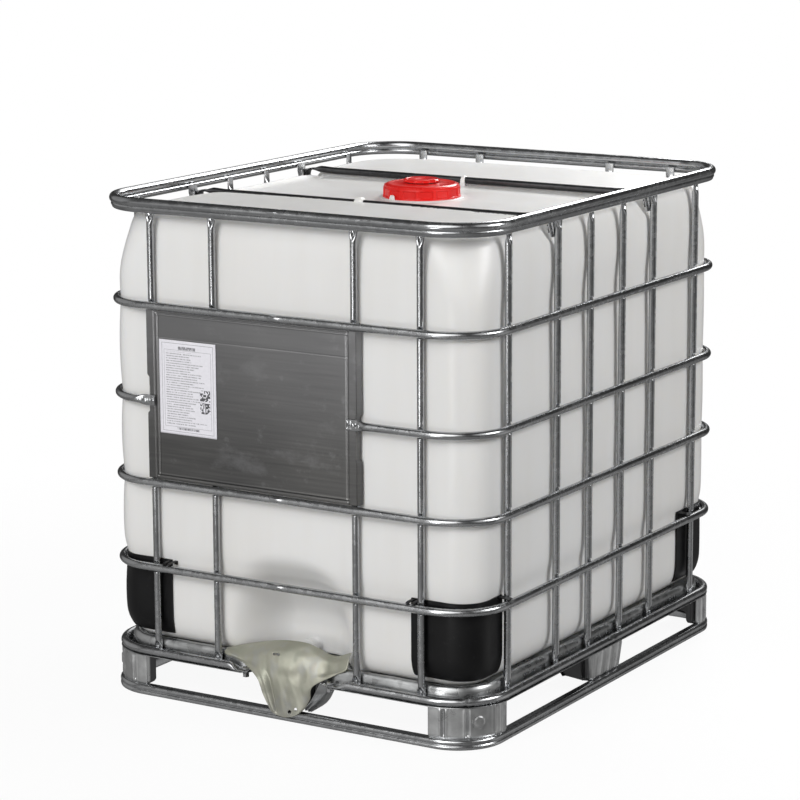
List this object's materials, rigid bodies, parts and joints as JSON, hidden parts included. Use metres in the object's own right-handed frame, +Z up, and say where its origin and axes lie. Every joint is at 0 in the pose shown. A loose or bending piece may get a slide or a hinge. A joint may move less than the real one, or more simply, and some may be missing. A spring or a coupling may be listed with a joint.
{
  "type": "intermediate bulk container",
  "caption": "Milky plastic bulk bottle with a red screw cap, held in a galvanised tube cage on a sheet steel pallet with a front drain spout and a label plate.",
  "frame": {"origin": "on the floor under the centre of the container", "axes": "+Z up, -Y out of the front face that carries the label plate and the drain spout, +X to the right seen from the front, +Y along the long side"},
  "size_m": [1.004, 1.212, 1.1295],
  "materials": {
    "galvanised_steel": "hot-dip galvanised tube, satin with bright spangle and darker streaks",
    "galvanised_sheet": "galvanised pressed sheet, satin",
    "label_plate_sheet": "dark zinc-coated sheet, smooth with light smears",
    "passivated_sheet": "yellow-green passivated zinc sheet, satin",
    "bolt_steel": "bright zinc plated",
    "natural_hdpe": "translucent milky white, fine blow-moulded surface",
    "red_plastic": "moulded signal red, slightly glossy",
    "white_plastic": "moulded natural white",
    "black_plastic": "moulded black, soft sheen",
    "rubber": "black sealing rubber",
    "paper": "matt printed sheet"
  },
  "bodies": {
    "container": {"bottle": "natural_hdpe", "top_rim": "galvanised_steel", "cage_ring_1": "galvanised_steel", "cage_ring_2": "galvanised_steel", "cage_ring_3": "galvanised_steel", "cage_ring_4": "galvanised_steel", "front_upright_1": "galvanised_steel", "front_upright_2": "galvanised_steel", "front_upright_3": "galvanised_steel", "front_upright_4": "galvanised_steel", "rear_upright_1": "galvanised_steel", "rear_upright_2": "galvanised_steel", "rear_upright_3": "galvanised_steel", "rear_upright_4": "galvanised_steel", "left_upright_1": "galvanised_steel", "left_upright_2": "galvanised_steel", "left_upright_3": "galvanised_steel", "left_upright_4": "galvanised_steel", "left_upright_5": "galvanised_steel", "left_upright_6": "galvanised_steel", "right_upright_1": "galvanised_steel", "right_upright_2": "galvanised_steel", "right_upright_3": "galvanised_steel", "right_upright_4": "galvanised_steel", "right_upright_5": "galvanised_steel", "right_upright_6": "galvanised_steel", "base_ring": "galvanised_steel", "top_bar_front": "galvanised_steel", "top_bar_rear": "galvanised_steel", "bar_bolt_front_left": "bolt_steel", "bar_bolt_front_right": "bolt_steel", "bar_bolt_rear_left": "bolt_steel", "bar_bolt_rear_right": "bolt_steel", "base_bolt_left": "bolt_steel", "base_bolt_right": "bolt_steel", "corner_guard_front_left": "black_plastic", "corner_guard_front_right": "black_plastic", "corner_guard_rear_left": "black_plastic", "corner_guard_rear_right": "black_plastic", "label_plate": "label_plate_sheet", "paper_label": "paper", "pallet_deck": "galvanised_sheet", "drain_spout": "passivated_sheet", "corner_foot_front_left": "galvanised_sheet", "corner_foot_front_right": "galvanised_sheet", "corner_foot_rear_left": "galvanised_sheet", "corner_foot_rear_right": "galvanised_sheet", "mid_foot_front": "galvanised_sheet", "mid_foot_left": "galvanised_sheet", "mid_foot_rear": "galvanised_sheet", "mid_foot_right": "galvanised_sheet", "runner_ring": "galvanised_steel"},
    "fill_cap_lift": {"fill_cap_gasket": "rubber"},
    "fill_cap": {"fill_cap": "red_plastic"},
    "vent_plug_lift": {"vent_plug_gasket": "rubber"},
    "vent_plug": {"vent_plug": "red_plastic"},
    "outlet_cap_lift": {"outlet_gasket": "rubber"},
    "outlet_cap": {"outlet_cap": "white_plastic"}
  },
  "joints": [
    {"name": "fill_cap_travel", "type": "slide", "parent": "container", "child": "fill_cap_lift", "axis": [0, 0, 1], "range_m": [0, 0.028]},
    {"name": "fill_cap_turn", "type": "hinge", "parent": "fill_cap_lift", "child": "fill_cap", "pos_m": [0, 0, 1.115], "axis": [0, 0, 1], "range_deg": [0, 1440]},
    {"name": "vent_plug_travel", "type": "slide", "parent": "fill_cap", "child": "vent_plug_lift", "axis": [0, 0, 1], "range_m": [0, 0.015]},
    {"name": "vent_plug_turn", "type": "hinge", "parent": "vent_plug_lift", "child": "vent_plug", "pos_m": [0, 0, 1.122], "axis": [0, 0, 1], "range_deg": [0, 1080]},
    {"name": "outlet_cap_travel", "type": "slide", "parent": "container", "child": "outlet_cap_lift", "axis": [0, -1, 0], "range_m": [0, 0.024]},
    {"name": "outlet_cap_turn", "type": "hinge", "parent": "outlet_cap_lift", "child": "outlet_cap", "pos_m": [0, -0.495, 0.14], "axis": [0, -1, 0], "range_deg": [0, 1440]}
  ],
  "couplings": [
    {"joint": "fill_cap_travel", "follows": "fill_cap_turn", "m_per_rad": 0.0011141},
    {"joint": "vent_plug_travel", "follows": "vent_plug_turn", "m_per_rad": 0.00079577},
    {"joint": "outlet_cap_travel", "follows": "outlet_cap_turn", "m_per_rad": 0.00095493}
  ]
}
